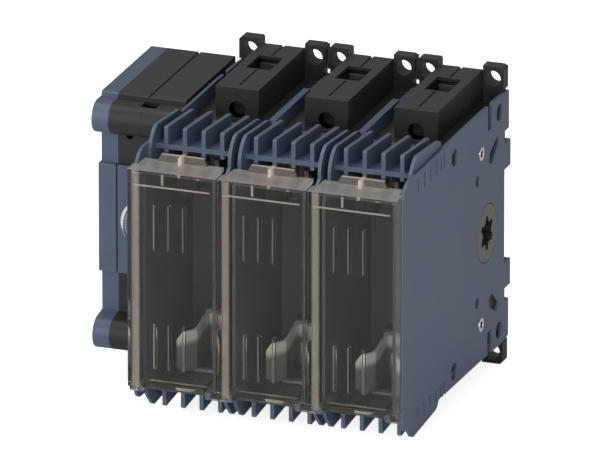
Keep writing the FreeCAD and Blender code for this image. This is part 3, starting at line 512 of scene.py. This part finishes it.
shaft_plastic = moulded_plastic("rotor_moulding", "rotor_plastic",
                                colour=(0.075, 0.072, 0.066), edge_colour=(0.16, 0.155, 0.145),
                                edge_share=0.5, roughness=0.42, grain=0.4)
shaft_back = 0.027
socket_radius = 0.0072
socket_depth = 0.006
for node in ["rotor_1", "rotor_2", "rotor_3", "output_coupling"]:
    rotor = softened(node, 0.0002, shaft_plastic)
    # Painted shade: the star socket is deep and unlit, so its walls get the black moulding instead of the
    # rotor's colour
    rotor.data.materials.append(black)
    end = max(spot.co.x for spot in rotor.data.vertices)
    for face in rotor.data.polygons:
        off_axis = math.hypot(face.center.y + shaft_back, face.center.z)
        if off_axis < socket_radius and end - socket_depth < face.center.x < end - 0.0001:
            face.material_index = 1


# Tie tubes: tubular steel rivets, nickel plated, that run through all three poles and the end plates.
# They are rolled over at both ends to hold the pack.

nickel = plated_metal("nickel_plating", "bright_steel", (0.78, 0.77, 0.76), (0.6, 0.59, 0.58), 0.22,
                      (3000, 600, 600))
softened("tie_tubes", 0.00012, nickel)


# Operating mechanism: two black half shells screwed together, with a blue-grey side cover,
# a raised dial plate and the round nose above and below that carries the front.

for side in ["left", "right"]:
    softened("mechanism_%s_half" % side, 0.00035, black)
softened("mechanism_side_cover", 0.0001, blue_grey)
softened("dial_plate", 0.0003, blue_grey)
softened("mechanism_screws", 0.00012, nickel)
softened("drive_hub", 0.0003, shaft_plastic)


def printed_ring():
    """White arc and scale dots printed on the dial plate round the hub."""
    plate = frame["nodes"]["dial_plate"]
    ink = 0.00002
    front = min(corner[1] for corner in plate.bound_box) - ink
    hub_x = -0.0706
    middle = Vector((hub_x, front, 0))
    shape = bmesh.new()
    # A short radial line is spun into the arc, and its width then swells and tapers along the arc
    arc_radius = 0.0110
    arc_start = 138
    arc_length = 70
    arc_half_width = 0.00055
    tip_half_width = 0.00005
    out = Matrix.Rotation(-math.radians(arc_start), 4, "Y")
    reach = [arc_radius - tip_half_width, arc_radius + tip_half_width]
    ends = [shape.verts.new(middle + out @ Vector((radius, 0, 0))) for radius in reach]
    line = shape.edges.new(ends)
    bmesh.ops.spin(shape, geom=ends + [line], cent=middle, axis=(0, -1, 0),
                   angle=math.radians(arc_length), steps=48)
    for spot in shape.verts:
        outwards = spot.co - middle
        share = (math.degrees(math.atan2(outwards.z, outwards.x)) % 360 - arc_start) / arc_length
        swell = max(math.sin(math.pi * min(share + 0.18, 1)), 0) ** 0.7
        half_width = arc_half_width * swell + tip_half_width
        side = 1 if outwards.length > arc_radius else -1
        spot.co = middle + outwards.normalized() * (arc_radius + side * half_width)
    # Each scale dot is a small rectangle, moved out from the middle and turned to its place
    dots = 22
    upright = Matrix.Rotation(math.radians(90), 4, "X") @ Matrix.Diagonal((0.0006, 0.00024, 1, 1))
    outside_hub = Matrix.Translation((0.0096, 0, 0)) @ upright
    for n in range(dots):
        turn = math.radians(120 + 110 * n / (dots - 1))
        place = Matrix.Translation(middle) @ Matrix.Rotation(-turn, 4, "Y") @ outside_hub
        bmesh.ops.create_grid(shape, x_segments=1, y_segments=1, size=0.5, matrix=place)
    bmesh.ops.recalc_face_normals(shape, faces=shape.faces)
    for face in shape.faces:
        if face.normal.y > 0:
            face.normal_flip()
    return shape


white_print = moulded_plastic("white_print", "blue_grey_plastic",
                              colour=(0.70, 0.73, 0.75), edge_colour=(0.7, 0.73, 0.75),
                              edge_share=0, roughness=0.5, grain=0.1)
finished(printed_ring(), "dial_print", "housing", white_print)


# Mitre gears: an equal pair in natural acetal, ivory, moulded with a smooth finish.
# One sits on the drive hub and one on the output coupling, inside the mechanism.

acetal = moulded_plastic("natural_acetal", "gear_plastic",
                         colour=(0.62, 0.60, 0.54), edge_colour=(0.7, 0.68, 0.63),
                         edge_share=0.2, roughness=0.35, grain=0.1)
for node in ["drive_gear", "shaft_gear"]:
    softened(node, 0.0001, acetal)


# Detent springs: two flat leaves of blued spring steel, held in the mechanism's shells.
# They press on the hub's square cam and hold it at its stops.

spring_steel = plated_metal("spring_steel", "zinc_steel", (0.42, 0.43, 0.46), (0.3, 0.3, 0.33), 0.28,
                            (300, 3000, 3000))
softened("detent_springs", 0.0001, spring_steel)


# Stage: a plain white floor just under the fixing ears and a white world.
# Four soft lamps light it: from above, the right side, the front and the left.

lowest, highest = cad_box
stage_middle = (lowest + highest) / 2


def floor_white():
    """White for the camera and in reflections, darkened where the object shades it."""
    material = bpy.data.materials.new("studio_floor")
    material.use_nodes = True
    nodes, links = material.node_tree.nodes, material.node_tree.links
    shader = nodes["Principled BSDF"]
    shader.inputs["Base Color"].default_value = (0.9, 0.9, 0.9, 1)
    shader.inputs["Roughness"].default_value = 0.9
    shader.inputs["Specular IOR Level"].default_value = 0.1
    shader.inputs["Emission Color"].default_value = (1, 1, 1, 1)
    ray = nodes.new("ShaderNodeLightPath")
    lift = nodes.new("ShaderNodeMath")
    lift.operation = "MULTIPLY"
    lift.inputs[1].default_value = 0.78
    links.new(ray.outputs["Is Camera Ray"], lift.inputs[0])
    links.new(lift.outputs["Value"], shader.inputs["Emission Strength"])
    return material


floor_shape = bmesh.new()
bmesh.ops.create_grid(floor_shape, x_segments=1, y_segments=1, size=6)
floor_gap = 0.0005
bmesh.ops.translate(floor_shape, verts=floor_shape.verts, vec=(0, 0, lowest.z - floor_gap))
floor_mesh = bpy.data.meshes.new("floor")
floor_shape.to_mesh(floor_mesh)
floor_shape.free()
floor = bpy.data.objects.new("floor", floor_mesh)
floor_mesh.materials.append(floor_white())
bpy.context.scene.collection.objects.link(floor)


def soft_lamp(name, place, aim, size, power):
    lamp = bpy.data.lights.new(name, "AREA")
    lamp.shape = "SQUARE"
    lamp.size = size
    lamp.energy = power
    holder = bpy.data.objects.new(name, lamp)
    holder.location = place
    holder.rotation_mode = "QUATERNION"
    holder.rotation_quaternion = (Vector(place) - Vector(aim)).to_track_quat("Z", "Y")
    bpy.context.scene.collection.objects.link(holder)


soft_lamp("key_lamp", (-0.3, -0.15, 1.15), stage_middle, 0.7, 6)
soft_lamp("side_lamp", (1.25, -0.3, 0.13), stage_middle, 0.36, 2.7)
soft_lamp("front_lamp", (0.5, -1.25, 0.42), stage_middle, 0.9, 10.5)
soft_lamp("left_lamp", (-0.7, -1.1, 0.4), stage_middle, 0.9, 7.5)

world = bpy.data.worlds.new("white_room")
bpy.context.scene.world = world
world.use_nodes = True
world_nodes, world_links = world.node_tree.nodes, world.node_tree.links
surroundings = world_nodes["Background"]
surroundings.inputs["Color"].default_value = (1, 1, 1, 1)
path = world_nodes.new("ShaderNodeLightPath")
seen = world_nodes.new("ShaderNodeMath")
seen.operation = "MAXIMUM"
world_links.new(path.outputs["Is Camera Ray"], seen.inputs[0])
unscattered = world_nodes.new("ShaderNodeMath")
unscattered.operation = "SUBTRACT"
unscattered.use_clamp = True
world_links.new(path.outputs["Is Transmission Ray"], unscattered.inputs[0])
world_links.new(path.outputs["Diffuse Depth"], unscattered.inputs[1])
world_links.new(unscattered.outputs["Value"], seen.inputs[1])
mirrored = world_nodes.new("ShaderNodeMath")
mirrored.operation = "MULTIPLY"
mirrored.inputs[1].default_value = 0.4
world_links.new(path.outputs["Is Glossy Ray"], mirrored.inputs[0])
most = world_nodes.new("ShaderNodeMath")
most.operation = "MAXIMUM"
world_links.new(seen.outputs["Value"], most.inputs[0])
world_links.new(mirrored.outputs["Value"], most.inputs[1])
strength = world_nodes.new("ShaderNodeMapRange")
strength.inputs["To Min"].default_value = 0.12
strength.inputs["To Max"].default_value = 1.0
world_links.new(most.outputs["Value"], strength.inputs["Value"])
world_links.new(strength.outputs["Result"], surroundings.inputs["Strength"])


# Camera: a long lens from the right and above, as in a catalogue picture.
# It stands far away, so that upright and level edges stay nearly parallel.

azimuth = math.radians(20)
elevation = math.radians(20)
lens = 1100
view_width = 0.23077
sensor = 36
aim = Vector((-0.010, -0.060, 0.0066))
backwards = Vector((math.sin(azimuth) * math.cos(elevation),
                    -math.cos(azimuth) * math.cos(elevation),
                    math.sin(elevation)))
camera_data = bpy.data.cameras.new("camera")
camera_data.lens = lens
camera_data.sensor_width = sensor
camera_data.clip_start = 0.1
camera_data.clip_end = 100
camera = bpy.data.objects.new("camera", camera_data)
camera.location = aim + backwards * (view_width * lens / sensor)
camera.rotation_mode = "QUATERNION"
camera.rotation_quaternion = backwards.to_track_quat("Z", "Y")
bpy.context.scene.collection.objects.link(camera)
bpy.context.scene.camera = camera
bpy.context.scene.view_settings.view_transform = "Standard"
